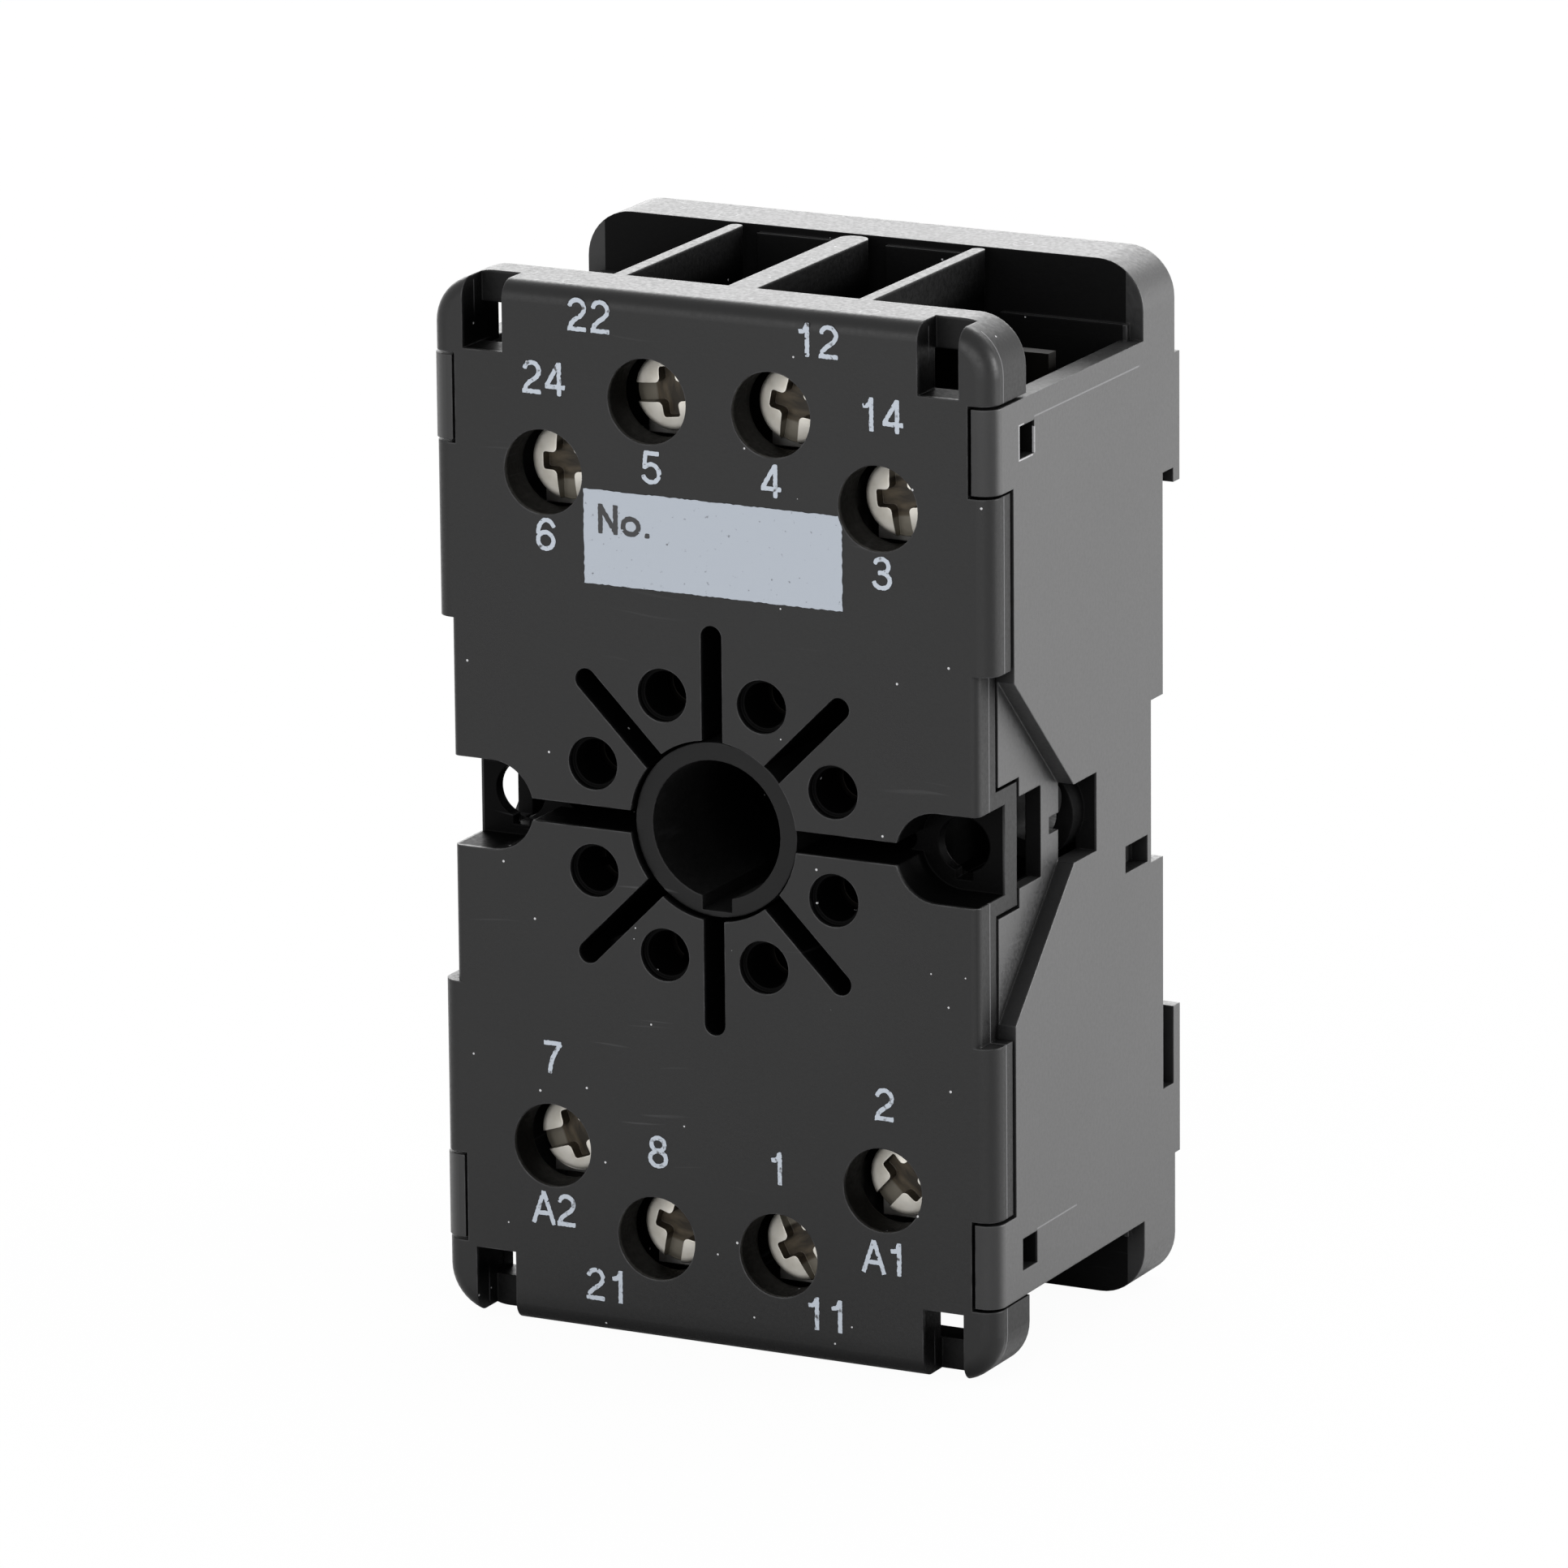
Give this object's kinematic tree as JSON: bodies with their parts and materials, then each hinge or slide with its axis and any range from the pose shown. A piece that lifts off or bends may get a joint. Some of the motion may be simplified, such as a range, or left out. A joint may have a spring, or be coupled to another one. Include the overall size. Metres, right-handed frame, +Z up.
{
  "type": "relay socket",
  "caption": "Octal relay socket with screw clamp terminals, a two-part moulded housing, contact strips and a sprung clip for a 35 mm mounting rail.",
  "frame": {"origin": "centre of the pin circle, on the front face", "axes": "+Y into the socket from its front face, +Z up along its length, +X to the right seen from the front"},
  "size_m": [0.0376, 0.0257, 0.065],
  "materials": {
    "housing_plastic": "fine matte moulded thermoplastic",
    "base_plastic": "fine matte moulded thermoplastic",
    "clip_plastic": "fine matte moulded thermoplastic",
    "contact_nickel": "rolled strip, dull nickel plate",
    "plated_steel": "zinc plated",
    "screw_nickel": "nickel plated, satin"
  },
  "bodies": {
    "housing": {"front_housing": "housing_plastic", "base_housing": "base_plastic", "contact_strip_1": "contact_nickel", "contact_strip_2": "contact_nickel", "contact_strip_3": "contact_nickel", "contact_strip_4": "contact_nickel", "contact_strip_5": "contact_nickel", "contact_strip_6": "contact_nickel", "contact_strip_7": "contact_nickel", "contact_strip_8": "contact_nickel"},
    "rail_clip": {"rail_clip": "clip_plastic"},
    "clamp_1": {"clamp_plate_1": "plated_steel"},
    "screw_1": {"terminal_screw_1": "screw_nickel"},
    "clamp_2": {"clamp_plate_2": "plated_steel"},
    "screw_2": {"terminal_screw_2": "screw_nickel"},
    "clamp_3": {"clamp_plate_3": "plated_steel"},
    "screw_3": {"terminal_screw_3": "screw_nickel"},
    "clamp_4": {"clamp_plate_4": "plated_steel"},
    "screw_4": {"terminal_screw_4": "screw_nickel"},
    "clamp_5": {"clamp_plate_5": "plated_steel"},
    "screw_5": {"terminal_screw_5": "screw_nickel"},
    "clamp_6": {"clamp_plate_6": "plated_steel"},
    "screw_6": {"terminal_screw_6": "screw_nickel"},
    "clamp_7": {"clamp_plate_7": "plated_steel"},
    "screw_7": {"terminal_screw_7": "screw_nickel"},
    "clamp_8": {"clamp_plate_8": "plated_steel"},
    "screw_8": {"terminal_screw_8": "screw_nickel"}
  },
  "joints": [
    {"name": "rail_clip_slide", "type": "slide", "parent": "housing", "child": "rail_clip", "axis": [0, 0, -1], "range_m": [0, 0.0035], "stiffness_N_per_m": 300, "springref_m": -0.003},
    {"name": "clamp_travel_1", "type": "slide", "parent": "housing", "child": "clamp_1", "axis": [0, 1, 0], "range_m": [0, 0.004]},
    {"name": "screw_turn_1", "type": "hinge", "parent": "clamp_1", "child": "screw_1", "pos_m": [0.00414, 0, -0.026], "axis": [0, 1, 0], "range_deg": [0, 2880]},
    {"name": "clamp_travel_2", "type": "slide", "parent": "housing", "child": "clamp_2", "axis": [0, 1, 0], "range_m": [0, 0.004]},
    {"name": "screw_turn_2", "type": "hinge", "parent": "clamp_2", "child": "screw_2", "pos_m": [0.01118, 0, -0.021], "axis": [0, 1, 0], "range_deg": [0, 2880]},
    {"name": "clamp_travel_3", "type": "slide", "parent": "housing", "child": "clamp_3", "axis": [0, 1, 0], "range_m": [0, 0.004]},
    {"name": "screw_turn_3", "type": "hinge", "parent": "clamp_3", "child": "screw_3", "pos_m": [0.01118, 0, 0.021], "axis": [0, 1, 0], "range_deg": [0, 2880]},
    {"name": "clamp_travel_4", "type": "slide", "parent": "housing", "child": "clamp_4", "axis": [0, 1, 0], "range_m": [0, 0.004]},
    {"name": "screw_turn_4", "type": "hinge", "parent": "clamp_4", "child": "screw_4", "pos_m": [0.00414, 0, 0.026], "axis": [0, 1, 0], "range_deg": [0, 2880]},
    {"name": "clamp_travel_5", "type": "slide", "parent": "housing", "child": "clamp_5", "axis": [0, 1, 0], "range_m": [0, 0.004]},
    {"name": "screw_turn_5", "type": "hinge", "parent": "clamp_5", "child": "screw_5", "pos_m": [-0.00414, 0, 0.026], "axis": [0, 1, 0], "range_deg": [0, 2880]},
    {"name": "clamp_travel_6", "type": "slide", "parent": "housing", "child": "clamp_6", "axis": [0, 1, 0], "range_m": [0, 0.004]},
    {"name": "screw_turn_6", "type": "hinge", "parent": "clamp_6", "child": "screw_6", "pos_m": [-0.01118, 0, 0.021], "axis": [0, 1, 0], "range_deg": [0, 2880]},
    {"name": "clamp_travel_7", "type": "slide", "parent": "housing", "child": "clamp_7", "axis": [0, 1, 0], "range_m": [0, 0.004]},
    {"name": "screw_turn_7", "type": "hinge", "parent": "clamp_7", "child": "screw_7", "pos_m": [-0.01118, 0, -0.021], "axis": [0, 1, 0], "range_deg": [0, 2880]},
    {"name": "clamp_travel_8", "type": "slide", "parent": "housing", "child": "clamp_8", "axis": [0, 1, 0], "range_m": [0, 0.004]},
    {"name": "screw_turn_8", "type": "hinge", "parent": "clamp_8", "child": "screw_8", "pos_m": [-0.00414, 0, -0.026], "axis": [0, 1, 0], "range_deg": [0, 2880]}
  ],
  "couplings": [
    {"joint": "screw_turn_1", "follows": "clamp_travel_1", "rad_per_m": 12566},
    {"joint": "screw_turn_2", "follows": "clamp_travel_2", "rad_per_m": 12566},
    {"joint": "screw_turn_3", "follows": "clamp_travel_3", "rad_per_m": 12566},
    {"joint": "screw_turn_4", "follows": "clamp_travel_4", "rad_per_m": 12566},
    {"joint": "screw_turn_5", "follows": "clamp_travel_5", "rad_per_m": 12566},
    {"joint": "screw_turn_6", "follows": "clamp_travel_6", "rad_per_m": 12566},
    {"joint": "screw_turn_7", "follows": "clamp_travel_7", "rad_per_m": 12566},
    {"joint": "screw_turn_8", "follows": "clamp_travel_8", "rad_per_m": 12566}
  ]
}
